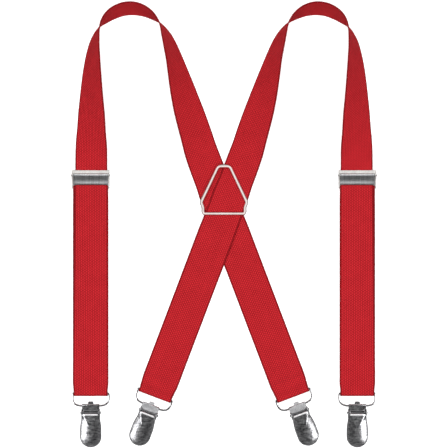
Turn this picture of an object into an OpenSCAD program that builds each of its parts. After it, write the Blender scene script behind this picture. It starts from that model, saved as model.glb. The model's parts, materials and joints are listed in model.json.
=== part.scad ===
// Cross-back elastic suspenders laid flat on a table, outer face up.
// Two webbing straps cross in a bent wire buckle. Each strap ends at the back in
// a sewn fold and runs at the front through a lever adjuster, round the loop of a
// clip and back up to the adjuster. Four lever clips close the ends.
// +Z is up, +Y points to the shoulders, the origin is on the table in the middle.

/* [Webbing] */
// Width of the elastic webbing
strap_w = 35.5; // [25:0.5:50]
// Thickness of the elastic webbing
strap_t = 1.3; // [1:0.1:1.6]
// Width of the webbing where it turns round a clip loop
turn_w = 34; // [24:0.5:48]
// Length of webbing folded back and sewn at each back clip
fold_len = 20; // [15:1:35]

/* [Layout] */
// Distance of each front strap from the middle
front_x = 133.3; // [120:0.1:150]
// Height of the strap crossing above the middle
cross_y = 10.4; // [0:0.1:30]
// Angle of each back strap from the long direction
back_angle = 20.8; // [12:0.1:30]
// Position along Y of the loop bar of a front clip
front_bar_y = -169; // [-180:0.1:-150]
// Position along Y of the loop bar of a back clip
back_bar_y = -170.2; // [-180:0.1:-150]
// Position along Y where the adjuster's pivot pin sits
adjuster_y = 48.6; // [30:0.1:52]

/* [Clip loop] */
// Diameter of the loop wire
wire_d = 1.8; // [1.5:0.1:2]
// Distance from the bar in the webbing to the bar in the clip
loop_len = 12.6; // [11:0.1:15]
// Half distance between the outer legs of the loop
loop_half = 18.1; // [18:0.1:20]

/* [Clip] */
// Width of the domed cover at its widest
cover_w = 21.4; // [20:0.1:24]
// Length of the clip from its loop tube to the rounded end
clip_len = 41.7; // [38:0.1:46]
// Width of the clip over its two ears
ears_w = 18.6; // [17:0.1:19]
// Thickness of the stamped sheet
sheet_t = 0.9; // [0.7:0.1:1]
// Height of the top of the domed cover
dome_z = 7.6; // [7:0.1:9]
// Diameter of the pivot pin
pin_d = 1.6; // [1.2:0.1:1.8]

/* [Adjuster] */
// Thickness of the adjuster sheet
adj_t = 0.9; // [0.7:0.1:1.1]
// Width of the adjuster's lever plate
lever_w = 35; // [30:0.5:35.5]
// Diameter of the adjuster's pivot pin
adj_pin_d = 1.2; // [1:0.1:1.4]

/* [Cross buckle] */
// Diameter of the buckle wire
buckle_d = 3.2; // [2:0.1:3.4]

/* [Hidden] */
$fn = 40;
half_t = strap_t / 2;
z_back = half_t;
z_front = 5.35;
z_bar = (z_back + z_front) / 2;
turn_r = (z_front - z_back) / 2;
run_top_y = 51;
run_x = front_x - 0.7;
run_w = strap_w - 2.4;
turn_top_y = front_bar_y + 10.6;
sewn_low_y = 18;
back_bar_x = (cross_y - back_bar_y) * tan(back_angle);
steel = [0.74, 0.74, 0.75];
dark_steel = [0.5, 0.5, 0.52];
red = [0.76, 0.12, 0.17];
grip = [0.12, 0.12, 0.13];

// ---- webbing ----

function unit(v) = v / norm(v);

// One station of a strap: its middle, its width direction and its width.
function station(p, across, w) = [p, unit(across), w];

// Width direction of a strap that heads along h (in plan) and is rolled by tilt.
function across_of(h, tilt) = [cos(tilt) * h[1], -cos(tilt) * h[0], sin(tilt)];

// Smooth curve through four neighbouring controls, t from 0 at b to 1 at c.
function curve(a, b, c, d, t) =
    0.5 * (2 * b + (c - a) * t + (2 * a - 5 * b + 4 * c - d) * t * t
        + (3 * b - a - 3 * c + d) * t * t * t);

function smooth(p, n) = [
    for (i = [0:len(p) - 2], k = [0:n - 1])
        curve(p[max(i - 1, 0)], p[i], p[i + 1], p[min(i + 2, len(p) - 1)], k / n)
];

// Width of the left strap at a control: drawn in just above the adjuster and a
// little above the crossing, at rest below it.
neck_in = 3.5;
function width_at(c) =
    c[0] < -110 ? strap_w - neck_in * max(0, min(1, (112 - c[1]) / 46))
    : c[1] > 30 ? strap_w - cross_in * max(0, min(1, (112 - c[1]) / 30, (c[1] - 30) / 12))
    : strap_w + back_out * max(0, min(1, (cross_y - c[1]) / 20));
cross_in = 1.5;
back_out = 1.2;

// Controls are [x, y, tilt, lift]; a rolled strap stands on its lower edge.
function stations(c) = [
    for (i = [0:len(c) - 1])
        let (
            a = c[max(i - 1, 0)],
            b = c[min(i + 1, len(c) - 1)],
            h = unit([b[0] - a[0], b[1] - a[1]]),
            tilt = max(c[i][2], 0),
            w = width_at(c[i]),
            z = w / 2 * sin(tilt) + half_t * abs(cos(tilt)) + max(c[i][3], 0)
        )
        station([c[i][0], c[i][1], z], across_of(h, tilt), w)
];

// Section of the webbing: a flat strip with softened edges.
function section(w) =
    let (a = w / 2, b = half_t, e = 0.6 * half_t, f = 0.45 * half_t)
    [
        [a, -f], [a, f], [a - e, b], [-a + e, b],
        [-a, f], [-a, -f], [-a + e, -b], [a - e, -b]
    ];

module strip(s) {
    n = len(s);
    m = 8;
    points = [
        for (i = [0:n - 1])
            let (
                t = unit(s[min(i + 1, n - 1)][0] - s[max(i - 1, 0)][0]),
                up = unit(cross(s[i][1], t)),
                side = cross(t, up)
            )
            for (q = section(s[i][2])) s[i][0] + side * q[0] + up * q[1]
    ];
    sides = [
        for (i = [0:n - 2], k = [0:m - 1])
            let (a = i * m + k, b = i * m + (k + 1) % m)
            each [[a, b, a + m], [b, b + m, a + m]]
    ];
    first = [[for (k = [m - 1:-1:0]) k]];
    last = [[for (k = [0:m - 1]) (n - 1) * m + k]];
    polyhedron(points, concat(first, sides, last));
}

// Half turn of webbing round a bar at p; along is the plan direction it leaves in.
function half_turn(p, along, r, w, from, to) = [
    for (k = [0:8])
        let (a = from + (to - from) * k / 8)
        station(
            p + [along[0] * r * cos(a), along[1] * r * cos(a), r * sin(a)],
            [along[1], -along[0], 0], w
        )
];

// Shoulder part of the left strap from the adjuster to just above the crossing.
shoulder = [
    [-run_x, run_top_y, 0, 4.7], [-run_x, 57, 0, 4.7], [-run_x, 62, 0, 4.7],
    [-132.5, 78, 17, 1.2], [-132.4, 92, 31, 0.2], [-132.2, 112, 42, 0],
    [-132.1, 132, 51, 0],
    [-131.5, 154, 60, 0], [-130, 174, 70, 0], [-127.8, 186, 78, 0],
    [-124.5, 196, 88, 0], [-119, 203.8, 100, 0], [-111.5, 209.9, 107, 0],
    [-101.5, 214.2, 110, 0], [-90.6, 215.2, 110, 0], [-80, 212.7, 106, 0],
    [-71, 207.4, 99, 0], [-63.6, 199.9, 88, 0], [-58.5, 190, 77, 0],
    [-54.5, 180, 70, 0], [-50.3, 167, 64, 0], [-46.3, 152, 56, 0],
    [-42, 136, 47, 0], [-37.2, 119, 38, 0], [-31.6, 101, 29, 0],
    [-27, 86, 21, 0]
];
// The same strap through the crossing; lift follows for the lower and upper strap.
crossing = [
    [-23.8, 75, 14, 0, 1], [-20.3, 65, 7, 0, 1.6], [-17, 56, 1.5, 0, 1.9],
    [-12.8, 44.6, 0, 0.1, 2.3], [-8.8, 34, 0, 0.5, 2.8], [-5, 24, 0, 1.3, 2.9],
    [0, cross_y, 0, 1.45, 2.9]
];
// Distance past the crossing and lift for the lower and the upper strap.
below = [
    [12, 1.3, 2.9], [22, 0.7, 2.9], [32, 0.1, 2.6], [44, 0, 2], [58, 0, 1.4],
    [72, 0, 0.5], [86, 0, 0]
];

run_dir = [sin(back_angle), -cos(back_angle)];
back_len = norm([back_bar_x, cross_y - back_bar_y]);
// Distance before the back loop bar and lift, where the folded end lies beneath.
tail = [[34, 0], [27, 0.6], [fold_len + 1.5, 1.45], [9, 1.45], [5, 2.6], [2, 4.2]];

function on_back(d, lift) = [run_dir[0] * d, cross_y + run_dir[1] * d, 0, lift];

function strap_controls(upper) = concat(
    [for (c = shoulder) c],
    [for (c = crossing) [c[0], c[1], c[2], c[3 + upper]]],
    [for (c = below) on_back(c[0], c[1 + upper])],
    [on_back(120, 0)],
    [for (c = tail) on_back(back_len - c[0], c[1])]
);

function fold_stations() =
    let (bar = [back_bar_x, back_bar_y, z_bar], back = [-run_dir[0], -run_dir[1], 0])
    concat(
        half_turn(bar, run_dir, turn_r, turn_w, 90, -90),
        [
            for (d = [5, 12, fold_len])
                station(
                    [bar[0] + back[0] * d, bar[1] + back[1] * d, z_back],
                    [run_dir[1], -run_dir[0], 0], min(strap_w, turn_w + d * 0.2)
                )
        ]
    );

module strap(upper) {
    strip(concat(stations(smooth(strap_controls(upper), 3)), fold_stations()));
}

module front_run() {
    strip([
        station([-front_x, turn_top_y, z_front], [-1, 0, 0], strap_w),
        station([-front_x, turn_top_y + 12, z_front], [-1, 0, 0], strap_w),
        station([-run_x, run_top_y - 12, z_front], [-1, 0, 0], run_w),
        station([-run_x, run_top_y, z_front], [-1, 0, 0], run_w)
    ]);
}

module back_run() {
    strip([
        station([-front_x, turn_top_y, z_back], [-1, 0, 0], strap_w),
        station([-front_x, sewn_low_y, z_back], [-1, 0, 0], strap_w)
    ]);
}

module turn() {
    bar = [-front_x, front_bar_y, z_bar];
    strip(concat(
        [
            station([-front_x, turn_top_y, z_front], [-1, 0, 0], strap_w),
            station([-front_x, turn_top_y - 5, z_front], [-1, 0, 0], turn_w + 0.6)
        ],
        half_turn(bar, [0, -1], turn_r, turn_w, 90, -90),
        [
            station([-front_x, turn_top_y - 5, z_back], [-1, 0, 0], turn_w + 0.6),
            station([-front_x, turn_top_y, z_back], [-1, 0, 0], strap_w)
        ]
    ));
}

// End of the webbing, wrapped round the adjuster's bar and sewn down on itself.
sewn_bar_y = adjuster_y - 12;
sewn_r = 1.65;
sewn_w = strap_w - 0.3;
module sewn_end() {
    bar = [-front_x, sewn_bar_y, z_back + sewn_r];
    strip(concat(
        [station([-front_x, sewn_low_y, z_back], [1, 0, 0], strap_w)],
        half_turn(bar, [0, 1], sewn_r, sewn_w, -90, 90),
        [
            station([-front_x, sewn_bar_y - 4, 2.9], [1, 0, 0], sewn_w),
            station([-front_x, sewn_bar_y - 8, 2.05], [1, 0, 0], sewn_w),
            station([-front_x, sewn_low_y + 2, 2.05], [1, 0, 0], sewn_w)
        ]
    ));
}

// ---- wire parts ----

// Closed path whose corners are rounded; c lists [x, y, radius].
function rounded(c) = [
    for (i = [0:len(c) - 1])
        let (
            m = len(c),
            here = [c[i][0], c[i][1]],
            was = [c[(i + m - 1) % m][0], c[(i + m - 1) % m][1]],
            next = [c[(i + 1) % m][0], c[(i + 1) % m][1]],
            a = here + unit(was - here) * c[i][2],
            b = here + unit(next - here) * c[i][2]
        )
        for (k = [0:4])
            let (t = k / 4)
            a * (1 - t) * (1 - t) + here * 2 * t * (1 - t) + b * t * t
];

// Half an outline, from the top middle down the right side, made whole.
function both_sides(half) = concat(
    half, [for (k = [len(half) - 1:-1:0]) [-half[k][0], half[k][1], half[k][2]]]
);

// Round wire bent along a closed flat path.
module bent_wire(path, d) {
    n = len(path);
    m = 16;
    points = [
        for (i = [0:n - 1])
            let (t = unit(path[(i + 1) % n] - path[(i + n - 1) % n]))
            for (k = [0:m - 1])
                let (a = 360 * (k + 0.5) / m, r = d / 2 / cos(180 / m) * 0.99)
                [path[i][0] + t[1] * r * cos(a), path[i][1] - t[0] * r * cos(a), r * sin(a)]
    ];
    skin = [
        for (i = [0:n - 1], k = [0:m - 1])
            let (
                j = (i + 1) % n,
                a = i * m + k, b = i * m + (k + 1) % m,
                c = j * m + k, e = j * m + (k + 1) % m
            )
            each [[a, c, b], [b, c, e]]
    ];
    polyhedron(points, skin);
}

// The clip lies towards -Y of its loop.
module loop() {
    x = loop_half;
    bent_wire(rounded(both_sides([
        [x, 0, 1.8], [x, 1.2 - loop_len, 6.4], [10.4, -loop_len, 1.2]
    ])), wire_d);
}

buckle_z = 4.35 + buckle_d / 2;
waist_y = cross_y;
module buckle() {
    translate([0, 0, buckle_z]) bent_wire(rounded(both_sides([
        [5.8, 57.8, 3], [22.9, 21.6, 2.2], [20.8, 16.8, 1.6], [21, waist_y, 2.6]
    ])), buckle_d);
}

// Rear bar behind both straps, with two ends bent up to the wire.
rear_t = 1.2;
rear_x = 21.4;
module rear_bar() {
    translate([-rear_x, waist_y - 1.6, 0]) cube([2 * rear_x, 3, rear_t]);
    for (x = [-rear_x, rear_x - 1])
        translate([x, waist_y - 1, 0]) cube([1, 1.8, buckle_z - buckle_d / 2 + 0.05]);
}

// ---- clip, drawn from the loop's clip bar; the rounded end lies towards -Y ----

pin_y = -7;
pin_z = 4.6;
tube_r = 1.75;
ear_y = -12.8;
neck_w = 15.8;
neck_y = pin_y - 0.85;
lug_t = 1;
pad_z = 2.2;
ear_in = ears_w / 2 - sheet_t;

// Side profile of the sheet rolled round the loop: tube, flap and sloping web.
module base_profile() {
    difference() {
        union() {
            translate([0, z_bar]) circle(r = tube_r);
            translate([-4.8, z_bar + tube_r - sheet_t]) square([4.8, sheet_t]);
            polygon([
                [0.9, 1.6], [-0.6, 0.9], [-4, 0], [-4, sheet_t], [-1.4, 1.9]
            ]);
        }
        translate([0, z_bar]) circle(d = wire_d + 0.16);
    }
}

module base_plan() {
    half = ears_w / 2;
    polygon([
        [-half, -3.5], [-half, ear_y], [1.2 - half, -16], [1.2 - half, -32],
        [half - 1.2, -32], [half - 1.2, -16], [half, ear_y], [half, -3.5]
    ]);
    translate([0, -32]) circle(r = half - 1.2);
}

module ear() {
    r = 2.6;
    difference() {
        rotate([90, 0, 90]) linear_extrude(sheet_t) union() {
            translate([pin_y, pin_z]) circle(r = r);
            polygon([
                [-3.5, 0], [-3.5, 3.4], [pin_y + 1.4, pin_z + 2.2],
                [pin_y - 2.2, pin_z + 1.4], [ear_y, 2.4], [ear_y, 0]
            ]);
        }
        translate([-1, pin_y, pin_z]) rotate([0, 90, 0]) cylinder(h = 3, d = pin_d + 0.06);
    }
}

module base() {
    w = ears_w - 1.2;
    difference() {
        translate([-w / 2, 0, 0]) rotate([90, 0, 90]) linear_extrude(w) base_profile();
        // arched end of the flap
        for (s = [-1, 1])
            translate([s * w / 2, -5.6, z_bar]) cylinder(h = 4, r = 1.7);
    }
    // small tab that stands out over the loop
    translate([-2.6, 1.2, z_bar - 0.4]) cube([5.2, 3, 0.9]);
    linear_extrude(sheet_t) base_plan();
    translate([ear_in, 0, 0]) ear();
    translate([-ear_in - sheet_t, 0, 0]) ear();
}

module pin() {
    translate([-ears_w / 2, pin_y, pin_z]) rotate([0, 90, 0]) cylinder(h = ears_w, d = pin_d);
    for (s = [-1, 1])
        translate([s * (ears_w / 2 + 0.45), pin_y, pin_z]) rotate([0, 90, 0])
            cylinder(h = 0.9, d = 2.4, center = true);
}

// Outline of the cover: a narrow neck between the ears, shoulders, rounded end.
cover_c = -25;
shoulder_y = -13.2;
side_steps = 6;
function bulge(u) = 9.3 + (cover_w / 2 - 9.3) * sin(90 * u);
function cover_half() = concat(
    [[0, neck_y, 5.7], [4, neck_y, 5.7], [6.6, neck_y - 0.05, 5.6]],
    [[neck_w / 2, neck_y - 0.8, 5.4], [neck_w / 2, -10.9, 4.4]],
    [[neck_w / 2, ear_y, 3.2], [9.3, ear_y - 0.4, 1.6]],
    [
        for (k = [1:side_steps])
            let (u = k / side_steps) [bulge(u), shoulder_y + (cover_c - shoulder_y) * u, 1.4]
    ],
    [[cover_w / 2, -28.5, 1.4]],
    [
        for (k = [0:8])
            let (a = 90 * k / 8, c = cover_w / 2 - clip_len)
            [cover_w / 2 * cos(a), c - cover_w / 2 * sin(a), 1.4]
    ]
);
function cover_rim() =
    let (h = cover_half(), n = len(h))
    concat(h, [for (k = [n - 2:-1:1]) [-h[k][0], h[k][1], h[k][2]]]);

// Point of the dome on ray q of the rim at the share s of the way out.
function dome_at(q, s, inset, drop) =
    let (
        c = [0, -24],
        v = [q[0] - c[0], q[1] - c[1]],
        g = s * (norm(v) - inset) / norm(v),
        top = dome_z - drop
    )
    [c[0] + v[0] * g, c[1] + v[1] * g, q[2] + (top - q[2]) * pow(1 - pow(s, 2.6), 0.7)];

module dome() {
    rim = cover_rim();
    m = len(rim);
    rings = [1, 0.985, 0.95, 0.88, 0.76, 0.58, 0.34];
    n = len(rings);
    outer = [for (s = rings, q = rim) dome_at(q, s, 0, 0)];
    inner = [for (s = rings, q = rim) dome_at(q, s, 0.8, 0.8)];
    top = [[0, -24, dome_z]];
    under = [[0, -24, dome_z - 0.8]];
    points = concat(outer, inner, top, under);
    it = 2 * n * m;
    shell = [
        for (i = [0:n - 2], k = [0:m - 1])
            let (a = i * m + k, b = i * m + (k + 1) % m)
            each [
                [a, b, a + m], [b, b + m, a + m],
                [a + n * m, a + m + n * m, b + n * m],
                [b + n * m, a + m + n * m, b + m + n * m]
            ]
    ];
    caps = [
        for (k = [0:m - 1])
            let (a = (n - 1) * m + k, b = (n - 1) * m + (k + 1) % m)
            each [[a, b, it], [b + n * m, a + n * m, it + 1]]
    ];
    edge = [
        for (k = [0:m - 1])
            let (b = (k + 1) % m)
            each [[b, k, n * m + k], [b, n * m + k, n * m + b]]
    ];
    polyhedron(points, concat(shell, caps, edge));
}

module lug() {
    difference() {
        rotate([90, 0, 90]) linear_extrude(lug_t) union() {
            translate([pin_y, pin_z]) circle(r = 1.7);
            polygon([
                [pin_y, pin_z + 1.7], [-8.8, 5.9], [-11.4, 5.2],
                [-11.4, 3.6], [pin_y, pin_z - 1.7]
            ]);
        }
        translate([-1, pin_y, pin_z]) rotate([0, 90, 0]) cylinder(h = 3, d = pin_d + 0.12);
    }
}

module cover() {
    dome();
    translate([neck_w / 2 - lug_t, 0, 0]) lug();
    translate([-neck_w / 2, 0, 0]) lug();
}

// Grip pad that lines the base under the cam.
module pad() {
    translate([-6.6, -24, sheet_t]) cube([13.2, 16.4, pad_z - sheet_t - 0.5]);
    for (k = [0:7])
        translate([-6.6, -22.8 + 2 * k, sheet_t]) cube([13.2, 0.9, pad_z - sheet_t]);
}

// Toothed grip that swings with the cover and presses on the pad.
module cam() {
    translate([-6.6, 0, 0]) rotate([90, 0, 90]) linear_extrude(13.2) polygon([
        [-8, 5.1], [-8, 2.7], [-8.6, 2.4], [-9.2, 2.7], [-9.8, 2.4], [-10.4, 2.7],
        [-11, 2.4], [-11.6, 2.7], [-11.6, 4.6], [-10.6, 5.6], [-8.8, 5.6]
    ]);
}

module at_loop(where) {
    front = where[0] == "front";
    side = where[1];
    x = front ? side * front_x : side * back_bar_x;
    y = front ? front_bar_y : back_bar_y;
    translate([x, y, 0]) rotate([0, 0, front ? 0 : side * back_angle]) children();
}

module at_clip(where) {
    at_loop(where) translate([0, -loop_len, 0]) children();
}

// ---- adjuster, drawn in place on the left strap ----

adj_ear_x = strap_w / 2 + 0.25;
adj_pin_z = 7.6;
hub_r = 1.5;
module adjuster_frame() {
    w = 2 * (adj_ear_x + adj_t);
    translate([-front_x, 0, 0]) {
        difference() {
            union() {
                translate([-w / 2, adjuster_y - 7.6, 3.7]) cube([w, 12.8, adj_t]);
                for (s = [-1, 1])
                    translate([s * (adj_ear_x + adj_t / 2) - adj_t / 2, 0, 0]) {
                        translate([0, adjuster_y - 3.6, 3.7]) cube([adj_t, 8.8, 3.5]);
                        translate([0, adjuster_y, adj_pin_z]) rotate([0, 90, 0])
                            cylinder(h = adj_t, r = 1.6);
                        translate([0, sewn_bar_y - 1.1, 1.3]) cube([adj_t, 6.4, 3.3]);
                    }
                translate([-w / 2, adjuster_y + 1.7, 6.3]) cube([w, 3.5, adj_t]);
            }
            translate([-w, adjuster_y, adj_pin_z]) rotate([0, 90, 0])
                cylinder(h = 2 * w, d = adj_pin_d + 0.06);
        }
        translate([-w / 2 + 0.3, sewn_bar_y, z_back + sewn_r]) rotate([0, 90, 0])
            cylinder(h = w - 0.6, d = 1.4);
    }
}

module adjuster_lever() {
    translate([-front_x - lever_w / 2, adjuster_y, adj_pin_z]) difference() {
        union() {
            rotate([0, 90, 0]) cylinder(h = lever_w, r = hub_r);
            rotate([90, 0, 90]) linear_extrude(lever_w) polygon([
                [-0.8, -0.8], [-1.6, -1.28], [-2.6, -0.7], [-3.2, -0.2],
                [-8.6, -0.3], [-9.3, -1.1], [-9.6, 0], [-9, 0.7], [-2, 1.1], [-0.8, 1]
            ]);
        }
        translate([-1, 0, 0]) rotate([0, 90, 0])
            cylinder(h = lever_w + 2, d = adj_pin_d + 0.12);
    }
}

module adjuster_pin() {
    w = 2 * (adj_ear_x + adj_t);
    translate([-front_x, adjuster_y, adj_pin_z]) rotate([0, 90, 0]) {
        cylinder(h = w, d = adj_pin_d, center = true);
        for (s = [-1, 1]) translate([0, 0, s * (w / 2 + 0.3)])
            cylinder(h = 0.6, d = 1.9, center = true);
    }
}

module right() {
    mirror([1, 0, 0]) children();
}

module raised() {
    translate([0, 0, z_bar]) children();
}

FL = ["front", -1];
FR = ["front", 1];
BL = ["back", -1];
BR = ["back", 1];

color(red) strap(0);  // left_strap
color(red) right() strap(1);  // right_strap
color(red) front_run();  // left_front_run
color(red) right() front_run();  // right_front_run
color(red) back_run();  // left_back_run
color(red) right() back_run();  // right_back_run
color(red) turn();  // left_turn
color(red) right() turn();  // right_turn
color(red) sewn_end();  // left_sewn_end
color(red) right() sewn_end();  // right_sewn_end
color(steel) buckle();  // cross_buckle
color(steel) rear_bar();  // cross_buckle_bar
color(steel) adjuster_frame();  // left_adjuster_frame
color(steel) right() adjuster_frame();  // right_adjuster_frame
color(steel) adjuster_lever();  // left_adjuster_lever
color(steel) right() adjuster_lever();  // right_adjuster_lever
color(dark_steel) adjuster_pin();  // left_adjuster_pin
color(dark_steel) right() adjuster_pin();  // right_adjuster_pin
color(steel) at_loop(FL) raised() loop();  // front_left_loop
color(steel) at_loop(FR) raised() loop();  // front_right_loop
color(steel) at_loop(BL) raised() loop();  // back_left_loop
color(steel) at_loop(BR) raised() loop();  // back_right_loop
color(steel) at_clip(FL) base();  // front_left_base
color(steel) at_clip(FR) base();  // front_right_base
color(steel) at_clip(BL) base();  // back_left_base
color(steel) at_clip(BR) base();  // back_right_base
color(steel) at_clip(FL) cover();  // front_left_cover
color(steel) at_clip(FR) cover();  // front_right_cover
color(steel) at_clip(BL) cover();  // back_left_cover
color(steel) at_clip(BR) cover();  // back_right_cover
color(dark_steel) at_clip(FL) pin();  // front_left_pin
color(dark_steel) at_clip(FR) pin();  // front_right_pin
color(dark_steel) at_clip(BL) pin();  // back_left_pin
color(dark_steel) at_clip(BR) pin();  // back_right_pin
color(grip) at_clip(FL) pad();  // front_left_pad
color(grip) at_clip(FR) pad();  // front_right_pad
color(grip) at_clip(BL) pad();  // back_left_pad
color(grip) at_clip(BR) pad();  // back_right_pad
color(grip) at_clip(FL) cam();  // front_left_cam
color(grip) at_clip(FR) cam();  // front_right_cam
color(grip) at_clip(BL) cam();  // back_left_cam
color(grip) at_clip(BR) cam();  // back_right_cam
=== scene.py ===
"""Cross-back elastic suspenders, laid flat with the shoulder turns standing on edge.

Lengths are worked out in millimetres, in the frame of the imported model, and become
metres when they go into a mesh. +Z is up and +Y points to the shoulders.
"""
import json
import math

import bmesh
import bpy
import numpy as np
from mathutils import Matrix

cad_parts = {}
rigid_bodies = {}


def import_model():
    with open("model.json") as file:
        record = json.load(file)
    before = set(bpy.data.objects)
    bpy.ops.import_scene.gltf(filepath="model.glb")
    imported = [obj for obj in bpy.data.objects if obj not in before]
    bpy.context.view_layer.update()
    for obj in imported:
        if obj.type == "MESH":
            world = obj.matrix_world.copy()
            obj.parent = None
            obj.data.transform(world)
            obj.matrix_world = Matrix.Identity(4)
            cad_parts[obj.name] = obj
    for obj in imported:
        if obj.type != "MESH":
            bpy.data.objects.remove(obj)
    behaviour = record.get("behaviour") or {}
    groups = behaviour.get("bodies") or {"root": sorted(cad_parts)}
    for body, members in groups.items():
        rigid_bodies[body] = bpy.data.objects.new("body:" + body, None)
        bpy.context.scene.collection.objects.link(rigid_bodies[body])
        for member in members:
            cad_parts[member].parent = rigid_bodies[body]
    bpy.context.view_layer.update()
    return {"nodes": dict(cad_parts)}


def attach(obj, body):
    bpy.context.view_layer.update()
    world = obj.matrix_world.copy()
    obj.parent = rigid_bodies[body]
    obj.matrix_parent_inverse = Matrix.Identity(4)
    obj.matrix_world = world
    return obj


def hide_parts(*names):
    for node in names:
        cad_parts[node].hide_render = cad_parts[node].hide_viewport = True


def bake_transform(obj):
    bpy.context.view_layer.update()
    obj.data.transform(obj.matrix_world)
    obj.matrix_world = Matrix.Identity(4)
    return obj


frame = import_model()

MM = 0.001

# ---- sizes, as in the model ----
STRAP_W, HALF_T, TURN_W, FOLD = 35.5, 0.65, 34.0, 20.0
FRONT_X, CROSS_Y, FRONT_BAR_Y, BACK_BAR_Y = 133.3, 10.4, -169.0, -170.2
BACK_ANGLE = math.radians(20.8)
Z_FRONT, Z_BAR, Z_BACK, TURN_R = 5.35, 3.0, 0.65, 2.35
RUN_TOP_Y, TURN_TOP_Y = 51.0, FRONT_BAR_Y + 10.6
RUN_X, RUN_W = FRONT_X - 0.7, STRAP_W - 2.4
NECK_IN, CROSS_IN, BACK_OUT = 3.5, 1.5, 1.2
ADJUSTER_Y, SEWN_LOW_Y = 48.6, 18.0
SEWN_BAR_Y, SEWN_R, SEWN_W = ADJUSTER_Y - 12, 1.65, STRAP_W - 0.3
LOOP_LEN, LOOP_HALF, LOOP_WIRE, BUCKLE_WIRE = 12.6, 18.1, 1.8, 3.2
BUCKLE_Z = 4.35 + BUCKLE_WIRE / 2
BACK_BAR_X = (CROSS_Y - BACK_BAR_Y) * math.tan(BACK_ANGLE)
UP = np.array([0, 0, 1.0])

# ---- the camera, straight above as the object is seen, and the stage ----
CAMERA_Z, VIEW_WIDTH, SENSOR = 8.0, 0.448, 36.0


def add_camera():
    """Camera that looks straight down with +Y up, so far off that lines stay parallel."""
    data = bpy.data.cameras.new("camera")
    data.sensor_width = SENSOR
    data.lens = SENSOR * CAMERA_Z / VIEW_WIDTH
    data.clip_end = 60
    camera = bpy.data.objects.new("camera", data)
    camera.location = (0, 0, CAMERA_Z)
    bpy.context.scene.collection.objects.link(camera)
    bpy.context.scene.camera = camera


add_camera()


# ---- surfaces worked out as whole arrays ----

def unit(v):
    """Vectors along the last axis, divided by their lengths."""
    return v / np.linalg.norm(v, axis=-1, keepdims=True)


def grid_faces(rows, cols, around=False, closed=False, start=0):
    """Quads of rows x cols points; around joins the last column to the first one,
    closed joins the last row to the first one."""
    r = np.arange(rows if closed else rows - 1)[:, None]
    c = np.arange(cols if around else cols - 1)[None, :]
    after, below = (c + 1) % cols, (r + 1) % rows
    corners = [r * cols + c, r * cols + after, below * cols + after, below * cols + c]
    return (np.stack(np.broadcast_arrays(*corners), -1).reshape(-1, 4) + start).tolist()


def join_shells(*shells):
    """One list of points and one of faces from several (points, faces, flat) shells."""
    points, faces, flat = [], [], []
    for p, f, k in shells:
        start = sum(len(q) for q in points)
        points.append(np.asarray(p, float).reshape(-1, 3))
        faces += [[i + start for i in face] for face in f]
        flat += list(k) if hasattr(k, "__len__") else [k] * len(f)
    return np.concatenate(points), faces, flat


def add_piece(name, shell, material, uv=None):
    """Mesh object from a closed shell of (points in mm, faces, flat marks). Its faces
    are turned outwards if the volume they enclose comes out negative."""
    points, faces, flat = shell
    points = np.asarray(points, float).reshape(-1, 3)
    mesh = bpy.data.meshes.new(name)
    mesh.from_pydata((points * MM).tolist(), [], faces)
    flat = np.broadcast_to(flat, len(faces)) if np.isscalar(flat) else np.array(flat)
    mesh.polygons.foreach_set("use_smooth", ~flat.astype(bool))
    if uv is not None:
        corner = np.empty(len(mesh.loops), int)
        mesh.loops.foreach_get("vertex_index", corner)
        layer = mesh.uv_layers.new(name="cloth")
        layer.data.foreach_set("uv", (np.asarray(uv) * MM)[corner].astype(np.float32).ravel())
    work = bmesh.new()
    work.from_mesh(mesh)
    if work.calc_volume(signed=True) < 0:
        bmesh.ops.reverse_faces(work, faces=work.faces[:])
        work.to_mesh(mesh)
    work.free()
    mesh.materials.append(material)
    piece = bpy.data.objects.new(name, mesh)
    bpy.context.scene.collection.objects.link(piece)
    return piece


def spline(controls, steps):
    """Smooth curve through controls: each span is the cubic whose slopes at its two
    ends are half the step between the neighbours on either side."""
    p = np.asarray(controls, float)
    p = np.vstack([p[:1], p, p[-1:]])
    t = np.arange(steps)[None, :, None] / steps
    a, b, c, d = (p[k:len(p) - 3 + k, None] for k in range(4))
    out = 0.5 * (
        2 * b + (c - a) * t + (2 * a - 5 * b + 4 * c - d) * t**2
        + (3 * b - a - 3 * c + d) * t**3
    )
    return np.vstack([out.reshape(-1, p.shape[1]), p[-2:-1]])


# ---- materials ----

def node(tree, kind, links=(), **values):
    """Add a node; links is a list of (input, socket), values set fields or inputs."""
    made = tree.nodes.new(kind)
    for key, value in values.items():
        if hasattr(made, key):
            setattr(made, key, value)
        else:
            made.inputs[key.replace("_", " ")].default_value = value
    for key, socket in links:
        tree.links.new(socket, made.inputs[key])
    return made


def maths(tree, operation, *terms):
    """Math node on sockets or numbers; gives its output socket."""
    made = tree.nodes.new("ShaderNodeMath")
    made.operation = operation
    for k, term in enumerate(terms):
        if isinstance(term, bpy.types.NodeSocket):
            tree.links.new(term, made.inputs[k])
        else:
            made.inputs[k].default_value = term
    return made.outputs[0]


def noise(tree, place, scale, detail):
    """Noise value at a place; scale is a socket or a number."""
    made = node(tree, "ShaderNodeTexNoise", [("Vector", place)], Detail=detail)
    if isinstance(scale, bpy.types.NodeSocket):
        tree.links.new(scale, made.inputs["Scale"])
    else:
        made.inputs["Scale"].default_value = scale
    return made.outputs["Fac"]


def weighted(tree, *terms):
    """Sum of (value, weight) pairs."""
    total = None
    for value, weight in terms:
        share = maths(tree, "MULTIPLY", value, weight)
        total = share if total is None else maths(tree, "ADD", total, share)
    return total


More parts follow.
